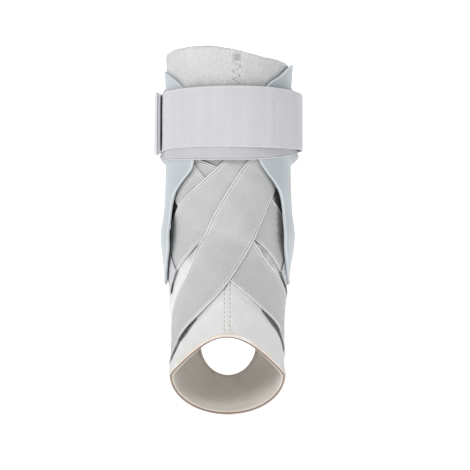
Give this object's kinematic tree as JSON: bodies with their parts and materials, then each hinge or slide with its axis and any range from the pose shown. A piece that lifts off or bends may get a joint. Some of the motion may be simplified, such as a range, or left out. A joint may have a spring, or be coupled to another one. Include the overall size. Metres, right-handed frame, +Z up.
{
  "type": "ankle brace",
  "caption": "Ankle support sleeve with stiff side shells, crossed elastic straps over the instep, an inner band and a wide upper strap, in its worn form.",
  "frame": {"origin": "on the axis of the leg at the height of the ankle bones, inside the brace", "axes": "+Z up along the leg, -Y towards the toes, +X to the right of someone who looks at the front"},
  "size_m": [0.113, 0.1406, 0.264],
  "materials": {
    "sleeve_fabric": "knitted padded cloth",
    "woven_elastic": "woven elastic tape",
    "shell_plastic": "smooth satin plastic",
    "band_elastic": "woven elastic tape",
    "loop_fabric": "brushed loop cloth",
    "tab_fabric": "smooth doubled cloth"
  },
  "bodies": {
    "root": {"sleeve": "sleeve_fabric", "ankle_strap_inner": "woven_elastic", "ankle_strap_outer": "woven_elastic", "instep_strap_inner": "woven_elastic", "instep_strap_outer": "woven_elastic", "shell_left": "shell_plastic", "shell_right": "shell_plastic", "inner_band": "band_elastic", "upper_strap": "loop_fabric", "closing_tab": "tab_fabric"}
  },
  "joints": []
}
